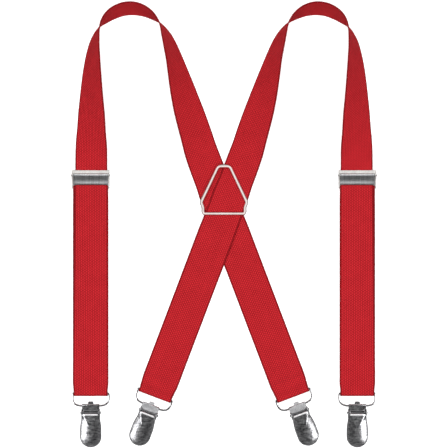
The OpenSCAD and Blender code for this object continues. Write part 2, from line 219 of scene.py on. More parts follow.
def new_group(name, inputs, outputs):
    """Node group with named inputs (name, type, value) and outputs (name, type)."""
    tree = bpy.data.node_groups.new(name, "ShaderNodeTree")
    for label, kind, value in inputs:
        s = tree.interface.new_socket(label, in_out="INPUT", socket_type=kind)
        if value is not None:
            s.default_value = value
    for label, kind in outputs:
        tree.interface.new_socket(label, in_out="OUTPUT", socket_type=kind)
    return tree, tree.nodes.new("NodeGroupInput").outputs, tree.nodes.new("NodeGroupOutput").inputs


FLOAT, VECTOR = "NodeSocketFloat", "NodeSocketVector"


def make_weave():
    """Knit of covered elastic: cords run along the strap, each crossed by stitches
    that are half a stitch later on every second cord. Height, |sin(pi * across)|^0.6 *
    |sin(pi * along)|^0.5 in cords and stitches, also serves as painted shade: the colour
    darkens in the valleys between cords and stitches."""
    tree, given, out = new_group(
        "weave",
        [("Cloth", VECTOR, None), ("Cord", FLOAT, 1.0), ("Stitch", FLOAT, 2.4)],
        [("Height", FLOAT)],
    )
    parts = node(tree, "ShaderNodeSeparateXYZ", [(0, given["Cloth"])]).outputs
    across = maths(tree, "DIVIDE", maths(tree, "MULTIPLY", parts["X"], 1000.0), given["Cord"])
    along = maths(tree, "DIVIDE", maths(tree, "MULTIPLY", parts["Y"], 1000.0), given["Stitch"])
    column = maths(tree, "FLOOR", across)
    stagger = maths(tree, "MULTIPLY", column, 0.5)
    phase = maths(tree, "ADD", along, stagger)
    cord = maths(tree, "ABSOLUTE", maths(tree, "SINE", maths(tree, "MULTIPLY", across, math.pi)))
    stitch = maths(tree, "ABSOLUTE", maths(tree, "SINE", maths(tree, "MULTIPLY", phase, math.pi)))
    cord = maths(tree, "POWER", cord, 0.6)
    stitch = maths(tree, "POWER", stitch, 0.5)
    tree.links.new(maths(tree, "MULTIPLY", cord, stitch), out["Height"])
    return tree


def make_scuff():
    """Handled metal: Mask is slow cloudiness plus short scratches, Height is the grain."""
    tree, given, out = new_group(
        "scuff",
        [("Place", VECTOR, None), ("Cloud", FLOAT, 120.0), ("Grain", FLOAT, 2500.0)],
        [("Mask", FLOAT), ("Height", FLOAT)],
    )
    place = given["Place"]
    stretched = node(tree, "ShaderNodeMapping", [("Vector", place)], Scale=(1.0, 0.08, 1.0))
    cloud = noise(tree, place, given["Cloud"], 4.0)
    lines = noise(tree, stretched.outputs[0], given["Grain"], 2.0)
    both = weighted(tree, (cloud, 0.65), (lines, 0.35))
    ramp = node(tree, "ShaderNodeMapRange", [("Value", both)], From_Min=0.35, From_Max=0.65)
    tree.links.new(ramp.outputs[0], out["Mask"])
    tree.links.new(noise(tree, place, given["Grain"], 1.0), out["Height"])
    return tree


WEAVE, SCUFF = make_weave(), make_scuff()


def new_material(name, **constants):
    """Material with a Principled shader whose constant sockets are set directly."""
    material = bpy.data.materials.new(name)
    material.use_nodes = True
    tree = material.node_tree
    shader = tree.nodes["Principled BSDF"]
    for key, value in constants.items():
        shader.inputs[key.replace("_", " ")].default_value = value
    return material, tree, shader.inputs


def mix_colors(tree, factor, dark, light):
    """Colour between dark, at a factor of 0, and light, at 1."""
    made = node(tree, "ShaderNodeMix", data_type="RGBA")
    tree.links.new(factor, made.inputs["Factor"])
    colors = [s for s in made.inputs if s.type == "RGBA"]
    colors[0].default_value = (*dark, 1)
    colors[1].default_value = (*light, 1)
    return next(s for s in made.outputs if s.type == "RGBA")


def spread(tree, value, low, high, start=0.0, end=1.0):
    """Map a value from start..end to low..high."""
    made = node(
        tree, "ShaderNodeMapRange", [("Value", value)],
        From_Min=start, From_Max=end, To_Min=low, To_Max=high,
    )
    return made.outputs[0]


def elastic(name, dark, light, cord, stitch, bump):
    """Covered elastic webbing: weave from the strap's own cloth map, with painted shade
    in its valleys and along the strap's edges, streaks along the strap and slow patches of colour."""
    material, tree, shader = new_material(name, Roughness=0.9, Specular_IOR_Level=0.03)
    cloth = node(tree, "ShaderNodeUVMap", uv_map="cloth").outputs[0]
    weave = tree.nodes.new("ShaderNodeGroup")
    weave.node_tree = WEAVE
    tree.links.new(cloth, weave.inputs["Cloth"])
    for key, value in (("Cord", cord), ("Stitch", stitch)):
        weave.inputs[key].default_value = value
    streaked = node(tree, "ShaderNodeMapping", [("Vector", cloth)], Scale=(900.0, 25.0, 1.0))
    streaks = noise(tree, streaked.outputs[0], 1.0, 3.0)
    patches = noise(tree, cloth, 70.0, 2.0)
    # the weave's height darkens the colour as painted shade in the valleys between cords and
    # stitches; streaks and patches vary the tone at random
    shade = weighted(tree, (weave.outputs["Height"], 0.75), (streaks, 0.14), (patches, 0.15))
    # painted shade: the last millimetre and a half of each side is darker, for the shade along the
    # strap's rounded edges
    side = maths(tree, "ABSOLUTE", node(tree, "ShaderNodeSeparateXYZ", [(0, cloth)]).outputs["X"])
    edge = STRAP_W / 2
    painted_edge_shade = spread(tree, side, 1.0, 0.4, (edge - 1.7) * MM, (edge - 1.1) * MM)
    shade = maths(tree, "MULTIPLY", shade, painted_edge_shade)
    tree.links.new(mix_colors(tree, shade, dark, light), shader["Base Color"])
    tree.links.new(spread(tree, weave.outputs["Height"], 0.95, 0.78), shader["Roughness"])
    relief = node(
        tree, "ShaderNodeBump", [("Height", weave.outputs["Height"])],
        Strength=bump, Distance=0.25 * MM,
    )
    tree.links.new(relief.outputs[0], shader["Normal"])
    return material


def plated(
    name, dark, light, smooth, rough, cloud, grain, bump, stretch=(1, 1, 1), metal=1.0,
):
    """Plated or moulded hard part: cloudy scuffs take its colour from dark to light and
    its roughness from smooth to rough, and a fine grain makes its relief. Cloud and
    grain are counts per metre; stretch draws both out along an axis."""
    material, tree, shader = new_material(name, Metallic=metal)
    place = node(tree, "ShaderNodeTexCoord").outputs["Object"]
    place = node(tree, "ShaderNodeMapping", [("Vector", place)], Scale=stretch).outputs[0]
    scuff = tree.nodes.new("ShaderNodeGroup")
    scuff.node_tree = SCUFF
    tree.links.new(place, scuff.inputs["Place"])
    scuff.inputs["Cloud"].default_value = cloud
    scuff.inputs["Grain"].default_value = grain
    tree.links.new(mix_colors(tree, scuff.outputs["Mask"], dark, light), shader["Base Color"])
    tree.links.new(spread(tree, scuff.outputs["Mask"], smooth, rough), shader["Roughness"])
    relief = node(
        tree, "ShaderNodeBump", [("Height", scuff.outputs["Height"])],
        Strength=bump, Distance=0.1 * MM,
    )
    tree.links.new(relief.outputs[0], shader["Normal"])
    return material


def grey(level):
    """Nearly neutral grey with a trace more blue."""
    return (level, level, level + 0.01)


RED_DARK, RED_LIGHT = (0.08, 0.002, 0.003), (0.67, 0.027, 0.036)
webbing = elastic("red_elastic", RED_DARK, RED_LIGHT, cord=1.8, stitch=2.5, bump=0.8)
thread = plated(
    "red_thread", (0.25, 0.006, 0.01), (0.5, 0.02, 0.035), 0.6, 0.8, 900, 4000, 0.3, metal=0.0,
)
# painted reflection: the pink tint of this nickel stands in for the red webbing reflected in the
# wire
buckle_plate_pink_reflection = plated(
    "buckle_nickel", (0.86, 0.73, 0.69), (0.97, 0.87, 0.84), 0.16, 0.28, 150, 2500, 0.04,
)
loop_plate = plated("loop_nickel", grey(0.45), grey(0.68), 0.16, 0.3, 150, 2500, 0.05)
cover_plate = plated(
    "cover_nickel", grey(0.11), grey(0.55), 0.28, 0.46, 420, 2200, 0.45, (0.5, 1.6, 1.0),
)
# painted highlight: the roll's near-white colour, far lighter than the cover's nickel it is rolled
# from, stands in for the bright band of light along the rolled neck
roll_plate_painted_highlight = plated("roll_nickel_painted_highlight", grey(0.74), grey(0.91), 0.14, 0.26, 300, 2500, 0.05)
base_plate = plated("base_nickel", grey(0.32), grey(0.54), 0.2, 0.36, 200, 3000, 0.15)
frame_plate = plated(
    "adjuster_nickel", (0.66, 0.64, 0.62), (0.85, 0.83, 0.80), 0.18, 0.34, 200, 2500, 0.08,
)
lever_plate = plated(
    "brushed_lever", (0.34, 0.35, 0.36), (0.60, 0.61, 0.62),
    0.28, 0.42, 400, 3500, 0.35, (3.0, 0.12, 1.0),
)
pin_steel = plated("pin_steel", grey(0.18), grey(0.32), 0.25, 0.4, 300, 3000, 0.1)
grip_plastic = plated(
    "grip_plastic", (0.012, 0.012, 0.013), (0.03, 0.03, 0.032),
    0.45, 0.6, 500, 3000, 0.25, metal=0.0,
)


# ---- webbing ----

# Left strap from its adjuster to just above the crossing: x, y, tilt, lift
SHOULDER = [
    [-RUN_X, RUN_TOP_Y, 0, 4.7], [-RUN_X, 57, 0, 4.7], [-RUN_X, 62, 0, 4.7],
    [-132.5, 78, 17, 1.2], [-132.4, 92, 31, 0.2], [-132.2, 112, 42, 0], [-132.1, 132, 51, 0],
    [-131.5, 154, 60, 0], [-130, 174, 70, 0], [-127.8, 186, 78, 0],
    [-124.5, 196, 88, 0], [-119, 203.8, 100, 0], [-111.5, 209.9, 107, 0],
    [-101.5, 214.2, 110, 0], [-90.6, 215.2, 110, 0], [-80, 212.7, 106, 0],
    [-71, 207.4, 99, 0], [-63.6, 199.9, 88, 0], [-58.5, 190, 77, 0],
    [-54.5, 180, 70, 0], [-50.3, 167, 64, 0], [-46.3, 152, 56, 0],
    [-42, 136, 47, 0], [-37.2, 119, 38, 0], [-31.6, 101, 29, 0], [-27, 86, 21, 0],
]
# The same strap through the crossing: the lifts are of the lower and the upper strap
CROSSING = [
    [-23.8, 75, 14, 0, 1], [-20.3, 65, 7, 0, 1.6], [-17, 56, 1.5, 0, 1.9],
    [-12.8, 44.6, 0, 0.1, 2.3], [-8.8, 34, 0, 0.5, 2.8], [-5, 24, 0, 1.3, 2.9],
    [0, CROSS_Y, 0, 1.45, 2.9],
]
# Distance past the crossing, lift of the lower and of the upper strap
BELOW = [
    [12, 1.3, 2.9], [22, 0.7, 2.9], [32, 0.1, 2.6], [44, 0, 2], [58, 0, 1.4],
    [72, 0, 0.5], [86, 0, 0],
]
# Underside of the strap where its folded end lies beneath
PLY_Z = 1.45
# Distance before the back loop bar, and lift
TAIL = [[34, 0], [27, 0.6], [FOLD + 1.5, PLY_Z], [9, PLY_Z], [5, 2.6], [2, 4.2]]
RUN_DIR = np.array([math.sin(BACK_ANGLE), -math.cos(BACK_ANGLE), 0.0])
BACK_LEN = math.hypot(BACK_BAR_X, CROSS_Y - BACK_BAR_Y)
STITCH_Z = PLY_Z + 2 * HALF_T + 0.08

# Distance below the adjuster's bar and height of the sewn end's upper ply
SEWN_OVER = [(2.5, 3.2), (5, 2.6), (8, 2.08), (12, 2.05), (16.6, 2.05)]

# Half section of the webbing, from its edge to its middle: inset from the edge,
# share of the inner half width, height above the middle plane. A shallow groove
# marks the selvedge.
SECTION = np.array([
    [0, 1, 0], [0.06, 1, 0.3], [0.2, 1, 0.5], [0.42, 1, 0.62], [0.9, 1, 0.65],
    [1.35, 1, 0.57], [1.8, 1, 0.65], [1.8, 0.75, 0.65], [1.8, 0.5, 0.65],
    [1.8, 0.25, 0.65], [1.8, 0, 0.65],
])


def section(width):
    """Closed outline of the webbing at each width: (stations, points, [across, up])."""
    inset, share, height = SECTION.T
    half = width[:, None] / 2
    x = np.where(share < 1, (half - 1.8) * share, half - inset)
    up = np.broadcast_to(height, x.shape)
    top_x, top_z = np.hstack([x, -x[:, -2::-1]]), np.hstack([up, up[:, -2::-1]])
    return np.stack([
        np.hstack([top_x, top_x[:, -2:0:-1]]), np.hstack([top_z, -top_z[:, -2:0:-1]])
    ], -1)


def ribbon(middle, across, width, start=0.0):
    """Webbing carried along stations. Up is across x tangent, and each point is the
    station's middle + side * (section across) + up * (section height). The cloth map
    is (across, drawn out to the full width, and length along the middle line)."""
    middle, width = np.asarray(middle, float), np.asarray(width, float)
    n = len(middle)
    # a second ring close to each end keeps the flat end out of the face's shading
    gap = 0.05
    keep = np.r_[0, 0:n, n - 1]
    across, width = np.broadcast_to(across, middle.shape)[keep], width[keep]
    first = middle[0] + gap * unit(middle[1] - middle[0])
    last = middle[-1] + gap * unit(middle[-2] - middle[-1])
    middle = np.vstack([middle[0], first, middle[1:-1], last, middle[-1]])
    tangent = unit(np.gradient(middle, axis=0))
    up = unit(np.cross(across, tangent))
    side = np.cross(tangent, up)
    outline = section(width)
    points = (
        middle[:, None] + side[:, None] * outline[..., :1] + up[:, None] * outline[..., 1:]
    )
    steps = np.linalg.norm(np.diff(middle, axis=0), axis=1)
    along = start + np.concatenate([[0], np.cumsum(steps)])
    uv_across = outline[..., 0] * STRAP_W / width[:, None]
    uv = np.stack([uv_across, np.broadcast_to(along[:, None], outline.shape[:2])], -1)
    rows, cols = outline.shape[:2]
    faces = grid_faces(rows, cols, around=True)
    ends = [list(range(cols))[::-1], [(rows - 1) * cols + k for k in range(cols)]]
    flat = [False] * len(faces) + [True, True]
    return (points.reshape(-1, 3), faces + ends, flat), uv.reshape(-1, 2)


def half_turn(bar, along, radius, start, end, steps=16):
    """Middle line of a half turn: bar + radius * (along * cos a + up * sin a)."""
    a = np.radians(np.linspace(start, end, steps + 1))[:, None]
    return np.asarray(bar) + radius * (np.asarray(along) * np.cos(a) + UP * np.sin(a))


def width_at(x, y):
    """Width of the left strap at (x, y): drawn in just above the adjuster and a little
    above the crossing, at rest below it."""
    neck = STRAP_W - NECK_IN * np.clip((112 - y) / 46, 0, 1)
    above = STRAP_W - CROSS_IN * np.clip(np.minimum((112 - y) / 30, (y - 30) / 12), 0, 1)
    below = STRAP_W + BACK_OUT * np.clip((CROSS_Y - y) / 20, 0, 1)
    return np.where(x < -110, neck, np.where(y > 30, above, below))


def smooth_step(t):
    """Share from 0 to 1 that starts and ends level: t^2 * (3 - 2t)."""
    return t * t * (3 - 2 * t)


def eased(width):
    """Width between TURN_W and STRAP_W, its even slope made a smooth step."""
    return TURN_W + (STRAP_W - TURN_W) * smooth_step((width - TURN_W) / (STRAP_W - TURN_W))


def strap_stations(upper):
    """Middle, width direction and width of the left strap, from adjuster to fold.
    A strap rolled by a tilt stands on its lower edge, so its middle is at
    half width * sin(tilt) + half thickness * |cos(tilt)| + lift."""
    back = lambda d, lift: [RUN_DIR[0] * d, CROSS_Y + RUN_DIR[1] * d, 0, lift]
    controls = SHOULDER + [[*c[:3], c[3 + upper]] for c in CROSSING]
    controls += [back(c[0], c[1 + upper]) for c in BELOW] + [back(120, 0)]
    controls += [back(BACK_LEN - d, lift) for d, lift in TAIL]
    line = spline(controls, 6)
    heading = unit(np.gradient(line[:, :2], axis=0))
    tilt = np.radians(np.maximum(line[:, 2], 0))
    width = width_at(line[:, 0], line[:, 1])
    z = width / 2 * np.sin(tilt) + HALF_T * np.abs(np.cos(tilt)) + np.maximum(line[:, 3], 0)
    middle = np.column_stack([line[:, :2], z])
    across = np.column_stack([
        np.cos(tilt) * heading[:, 1], -np.cos(tilt) * heading[:, 0], np.sin(tilt),
    ])
    bar = np.array([BACK_BAR_X, BACK_BAR_Y, Z_BAR])
    turn = half_turn(bar, RUN_DIR, TURN_R, 90, -90)
    fold = np.linspace(2, FOLD, 8)[:, None]
    ply = bar - RUN_DIR * fold - [0, 0, TURN_R]
    tail = np.vstack([turn, ply])
    tail_across = np.broadcast_to([RUN_DIR[1], -RUN_DIR[0], 0], tail.shape)
    distance = np.linalg.norm(middle[:, :2] - bar[:2], axis=1)
    near_bar = np.where(middle[:, 1] < 0, np.clip((distance - 1) / 14, 0, 1), 1)
    width = np.concatenate([
        TURN_W + (width - TURN_W) * smooth_step(near_bar),
        np.full(len(turn), TURN_W), np.minimum(STRAP_W, TURN_W + fold[:, 0] * 0.2),
    ])
    return np.vstack([middle, tail]), np.vstack([across, tail_across]), width


def mirrored(shell):
    """The shell's mirror image in the plane x = 0."""
    points, faces, flat = shell
    return np.asarray(points) * [-1, 1, 1], faces, flat


def both_sides(shell, side):
    """The shell on the left side, or its mirror image on the right."""
    return shell if side == "left" else mirrored(shell)


def straight(y_from, y_to, z, width_from=STRAP_W, width_to=STRAP_W, step=2.0):
    """Flat run of webbing along Y at the left front."""
    n = max(2, int(abs(y_to - y_from) / step) + 1)
    y = np.linspace(y_from, y_to, n)
    middle = np.column_stack([np.full(n, -FRONT_X), y, np.full(n, z)])
    return middle, np.linspace(width_from, width_to, n)


def stitches(centres, direction, length, depth, radius, plunge):
    """One row of thread: each stitch is a six-sided thread along the direction whose
    middle line is an arch, depth * (1 - (2t - 1)^2) above ends sunk by the plunge."""
    t = np.linspace(0, 1, 7)[None, :, None]
    centres = np.asarray(centres, float)[:, None]
    direction = np.broadcast_to(direction, (len(centres), 3))[:, None]
    line = centres + direction * (t - 0.5) * length
    line = line + UP * ((1 - (2 * t - 1) ** 2) * depth - plunge)
    a = np.radians(np.arange(0, 360, 60))[None, None, :, None]
    side = np.cross(direction, UP)[:, :, None]
    points = line[:, :, None] + radius * (side * np.cos(a) + UP * np.sin(a))
    stitch_count, rings, corners = points.shape[:3]
    faces = []
    for first in np.arange(stitch_count) * rings * corners:
        last = first + (rings - 1) * corners
        faces += grid_faces(rings, corners, around=True, start=first)
        faces += [np.arange(first, first + corners)[::-1].tolist()]
        faces += [np.arange(last, last + corners).tolist()]
    return points.reshape(-1, 3), faces, False


for side in ("left", "right"):
    sign = -1 if side == "left" else 1
    turn_body, adjuster_body = side + "_turn", side + "_adjuster"

    shell, uv = ribbon(*strap_stations(0 if side == "left" else 1))
    piece = add_piece(side + "_webbing", both_sides(shell, side), webbing, uv)
    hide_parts(side + "_strap")
    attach(piece, "straps")

    middle, width = straight(RUN_TOP_Y, TURN_TOP_Y, Z_FRONT)
    bends = [TURN_TOP_Y, TURN_TOP_Y + 12, RUN_TOP_Y - 12, RUN_TOP_Y]
    middle[:, 0] = np.interp(middle[:, 1], bends, [-FRONT_X, -FRONT_X, -RUN_X, -RUN_X])
    width = np.interp(middle[:, 1], bends, [STRAP_W, STRAP_W, RUN_W, RUN_W])
    shell, uv = ribbon(middle, [-1, 0, 0], width, RUN_TOP_Y - middle[0, 1])
    uv[:, 1] = -uv[:, 1]
    piece = add_piece(side + "_front_webbing", both_sides(shell, side), webbing, uv)
    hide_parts(side + "_front_run")
    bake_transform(piece)

    middle, width = straight(TURN_TOP_Y, SEWN_LOW_Y, Z_BACK)
    shell, uv = ribbon(middle, [1, 0, 0], width)
    piece = add_piece(side + "_back_webbing", both_sides(shell, side), webbing, uv)
    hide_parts(side + "_back_run")
    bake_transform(piece)

    bar = np.array([-FRONT_X, FRONT_BAR_Y, Z_BAR])
    down = np.array([0, -1.0, 0])
    front, front_w = straight(TURN_TOP_Y, FRONT_BAR_Y + 1.5, Z_FRONT, STRAP_W, TURN_W, 1.0)
    back, back_w = straight(FRONT_BAR_Y + 1.5, TURN_TOP_Y, Z_BACK, TURN_W, STRAP_W, 1.0)
    around = half_turn(bar, down, TURN_R, 90, -90)
    shell, uv = ribbon(
        np.vstack([front, around, back]), [-1, 0, 0],
        np.concatenate([eased(front_w), np.full(len(around), TURN_W), eased(back_w)]),
        RUN_TOP_Y - TURN_TOP_Y,
    )
    uv[:, 1] = -uv[:, 1]
    piece = add_piece(side + "_turn_webbing", both_sides(shell, side), webbing, uv)
    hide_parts(side + "_turn")
    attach(piece, turn_body)

    sewn_bar = np.array([-FRONT_X, SEWN_BAR_Y, Z_BACK + SEWN_R])
    low, low_w = straight(SEWN_LOW_Y, SEWN_BAR_Y - 2, Z_BACK, STRAP_W, SEWN_W)
    around = half_turn(sewn_bar, [0, 1.0, 0], SEWN_R, -90, 90)
    over = spline([[-FRONT_X, SEWN_BAR_Y - d, z] for d, z in SEWN_OVER], 4)
    shell, uv = ribbon(
        np.vstack([low, around, over]), [1, 0, 0],
        np.concatenate([low_w, np.full(len(around) + len(over), SEWN_W)]),
    )
    piece = add_piece(side + "_sewn_webbing", both_sides(shell, side), webbing, uv)
    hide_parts(side + "_sewn_end")
    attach(piece, adjuster_body)

    # two rows of stitches hold the folded end under each back strap
    rows, row_dir = [], np.array([RUN_DIR[1], -RUN_DIR[0], 0])
    pitch = 1.12
    for distance in (15.5, 18.0):
        centre = np.array([BACK_BAR_X, BACK_BAR_Y, STITCH_Z]) - RUN_DIR * distance
        line = centre + row_dir * np.arange(-14, 15)[:, None] * pitch
        rows.append(stitches(line, row_dir, length=0.9, depth=0.3, radius=0.16, plunge=0.2))
    shell = both_sides(join_shells(*rows), side)
    piece = add_piece(side + "_fold_stitching", shell, thread)
    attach(piece, "straps")


# ---- bent wire ----

def rounded_path(corners, steps=8):
    """Closed path through [x, y, leg] corners; each is a quadratic curve that starts
    and ends one leg away from the corner."""
    c = np.asarray(corners, float)
    here, was, after = c[:, :2], np.roll(c[:, :2], 1, 0), np.roll(c[:, :2], -1, 0)
    a = here + unit(was - here) * c[:, 2:]
    b = here + unit(after - here) * c[:, 2:]
    t = np.linspace(0, 1, steps + 1)[None, :, None]
    curve = a[:, None] * (1 - t) ** 2 + here[:, None] * 2 * t * (1 - t) + b[:, None] * t**2
    return curve.reshape(-1, 2)


def whole(half):
    """A half outline down the right side, and its mirror image back up the left."""
    return half + [[-x, y, leg] for x, y, leg in half[::-1]]


def bent_wire(path, diameter, z, sides=20):
    """Round wire along a closed flat path: path + normal * r cos a, z + r sin a."""
    tangent = unit(np.roll(path, -1, 0) - np.roll(path, 1, 0))
    a = np.linspace(0, 2 * math.pi, sides, endpoint=False)[None, :, None]
    radius = diameter / 2
    normal = np.column_stack([tangent[:, 1], -tangent[:, 0], np.zeros(len(path))])[:, None]
    middle = np.column_stack([path, np.full(len(path), z)])[:, None]
    points = middle + radius * (normal * np.cos(a) + UP * np.sin(a))
    return points.reshape(-1, 3), grid_faces(len(path), sides, around=True, closed=True), False


BUCKLE_HALF = [[5.8, 57.8, 3], [22.9, 21.6, 2.2], [20.8, 16.8, 1.6], [21, CROSS_Y, 2.6]]
shell = bent_wire(rounded_path(whole(BUCKLE_HALF)), BUCKLE_WIRE, BUCKLE_Z)
piece = add_piece("cross_buckle_wire", shell, buckle_plate_pink_reflection)
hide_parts("cross_buckle")
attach(piece, "cross_buckle")


# ---- clips, drawn from their clip bar with the rounded end towards -Y ----

def placed(shell, end, side, at_loop=False):
    """Move a shell from a clip's own frame, or from its loop's, to the place of one of
    the four clips: turn about Z, then shift to the loop bar."""
    points, faces, flat = shell
    points = np.array(points, float).reshape(-1, 3)
    if not at_loop:
        points = points - [0, LOOP_LEN, 0]
    sign = -1 if side == "left" else 1
    angle = 0 if end == "front" else sign * BACK_ANGLE
    turned = points @ np.array([
        [math.cos(angle), math.sin(angle), 0], [-math.sin(angle), math.cos(angle), 0], [0, 0, 1],
    ])
    x, y = (FRONT_X, FRONT_BAR_Y) if end == "front" else (BACK_BAR_X, BACK_BAR_Y)
    return turned + [sign * x, y, 0], faces, flat


# Stamped base: width over its ears, sheet, where the ears end, and its pin
EARS_W, SHEET_T, EAR_Y, PIN_Y, PIN_Z = 18.6, 0.9, -12.8, -7.0, 4.6
# Cover: neck, shoulders, end of the swelling sides, width, and height of the dome
NECK_W, NECK_Y, SHOULDER_Y, COVER_C, COVER_W, DOME_Z = 15.8, -7.85, -13.2, -25.0, 21.4, 7.6
SHOULDER_X = 9.3
CLIP_LEN = 41.7
# Roll along the neck of the cover: place, radius and half length
ROLL_Y, ROLL_Z, ROLL_R, ROLL_HALF = -9.3, 5.7, 1.25, 7.7


def cover_rim():
    """Outline of the cover with its height: a neck between the ears, round shoulders,
    sides that swell by a quarter sine and a half circle for the end."""
    r = COVER_W / 2
    u = np.arange(1, 7) / 6
    swell = SHOULDER_X + (r - SHOULDER_X) * np.sin(np.pi / 2 * u)
    sides = np.column_stack([swell, SHOULDER_Y + (COVER_C - SHOULDER_Y) * u, np.full(6, 1.4)])
    a = np.linspace(0, np.pi / 2, 9)
    end = np.column_stack([r * np.cos(a), r - CLIP_LEN - r * np.sin(a), np.full(9, 1.4)])
    half = np.vstack([
        [[0, NECK_Y, 5.7], [4, NECK_Y, 5.7], [6.6, NECK_Y - 0.05, 5.6]],
        [[NECK_W / 2, NECK_Y - 0.8, 5.4], [NECK_W / 2, -10.9, 4.4]],
        [[NECK_W / 2, EAR_Y, 3.2], [SHOULDER_X, EAR_Y - 0.4, 1.6]],
        sides, [[r, -28.5, 1.4]], end,
    ])
    dense = spline(half, 4)[:-1]
    return np.vstack([dense, half[-1:], dense[:0:-1] * [-1, 1, 1]])


def dome():
    """Domed shell on the rim: a point at the share s of the way from the middle out to
    the rim is rim height + (top - rim height) * (1 - s^2.6)^0.7. The outer and the
    inner skin, 0.8 mm apart, meet in a round lip."""
    rim = cover_rim()
    middle = np.array([0, -24.0])
    ray = rim[:, :2] - middle
    reach = np.linalg.norm(ray, axis=1, keepdims=True)
    outer_s = 1 - (1 - np.linspace(0.06, 1, 22)) ** 1.7

    def skin(s, inset, drop):
        """Rows of the skin at the shares s, drawn in by the inset and lowered."""
        g = s[:, None, None] * (reach - inset) / reach
        xy = middle + ray * g
        top = DOME_Z - drop
        z = rim[:, 2] + (top - rim[:, 2]) * (1 - s[:, None] ** 2.6) ** 0.7
        return np.concatenate([xy, z[..., None]], -1)

    outer, inner = skin(outer_s, 0, 0), skin(outer_s[::-1], 0.8, 0.8)
    a = np.linspace(0, np.pi, 7)[1:-1]
    lip_inset = 0.4 * (1 - np.cos(a))
    lip = np.stack([
        np.column_stack([middle + ray * (reach - i) / reach, rim[:, 2] - 0.4 * math.sin(b)])
        for i, b in zip(lip_inset, a)
    ])
    rows = np.concatenate([outer, lip, inner])
    count, cols = len(rows), len(rim)
    points = np.vstack([rows.reshape(-1, 3), [[0, -24, DOME_Z], [0, -24, DOME_Z - 0.8]]])
    top = count * cols
    k = np.arange(cols)
    fan = np.column_stack([np.full(cols, top), (k + 1) % cols, k]).tolist()
    last = (count - 1) * cols
    under = np.column_stack([np.full(cols, top + 1), last + k, last + (k + 1) % cols]).tolist()
    return points, fan + grid_faces(count, cols, around=True) + under, False


def plate(outline, low, high, bevel=0.12, axis="x"):
    """Flat plate from an outline, with narrow bevels: rows are the outline drawn in by
    the bevel, the outline twice, and the outline drawn in again; flat caps."""
    p = np.asarray(outline, float)
    before, after = unit(p - np.roll(p, 1, 0)), unit(np.roll(p, -1, 0) - p)
    inward = np.column_stack([-(before + after)[:, 1], (before + after)[:, 0]])
    area = 0.5 * np.sum(p[:, 0] * np.roll(p[:, 1], -1) - np.roll(p[:, 0], -1) * p[:, 1])
    inward = unit(inward) * (1 if area > 0 else -1)
    small = p + inward * bevel
    levels = [(small, low), (p, low + bevel), (p, high - bevel), (small, high)]
    order = {"x": (2, 0, 1), "z": (0, 1, 2)}[axis]
    n = len(p)
    rows = np.concatenate([np.column_stack([q, np.full(n, h)])[:, order] for q, h in levels])
    faces = grid_faces(4, n, around=True) + [list(range(n))[::-1], [3 * n + k for k in range(n)]]
    return rows, faces, True


def arc(centre, radius, start, end, steps=10):
    """Points of a circular arc, angles in degrees."""
    a = np.radians(np.linspace(start, end, steps + 1))
    return np.column_stack([centre[0] + radius * np.cos(a), centre[1] + radius * np.sin(a)])


def lug(low):
    """Side lug of the cover that holds the pin, in the plane of Y and Z."""
    outline = np.vstack([
        arc((PIN_Y, PIN_Z), 1.7, -90, 90, 12), [[-8.8, 5.9], [-11.4, 5.2], [-11.4, 3.6]],
    ])
    return plate(outline, low, low + 1.0)


def bead(path, radius, sides=12):
    """Round bead along an open path in space, closed at both ends: path + r * (side *
    cos a + up * sin a), with side square to the path and level."""
    path = np.asarray(path, float)
    tangent = unit(np.gradient(path, axis=0))
    side = unit(np.cross(tangent, UP))
    up = np.cross(side, tangent)
    a = np.linspace(0, 2 * math.pi, sides, endpoint=False)[None, :, None]
    points = path[:, None] + radius * (side[:, None] * np.cos(a) + up[:, None] * np.sin(a))
    n = len(path)
    faces = grid_faces(n, sides, around=True)
    caps = [list(range(sides))[::-1], [(n - 1) * sides + k for k in range(sides)]]
    return points.reshape(-1, 3), faces + caps, [False] * len(faces) + [True, True]


def rolled_tube(half, outer, inner, z, turns=28):
    """Tube along X: a ring section with rounded ends, turned about the X axis at z."""
    edge = 0.25
    profile = np.array([
        [-half + edge, outer], [half - edge, outer], [half, outer - edge],
        [half, inner], [-half, inner], [-half, outer - edge],
    ])
    a = np.linspace(0, 2 * math.pi, turns, endpoint=False)[:, None]
    points = np.stack([
        np.broadcast_to(profile[:, 0], (turns, 6)),
        profile[:, 1] * np.cos(a),
        z + profile[:, 1] * np.sin(a),
    ], -1)
    faces = grid_faces(turns, 6, around=True, closed=True)
    flat = np.array([c % 6 not in (0, 3) for c in range(len(faces))])
    return points.reshape(-1, 3), faces, flat


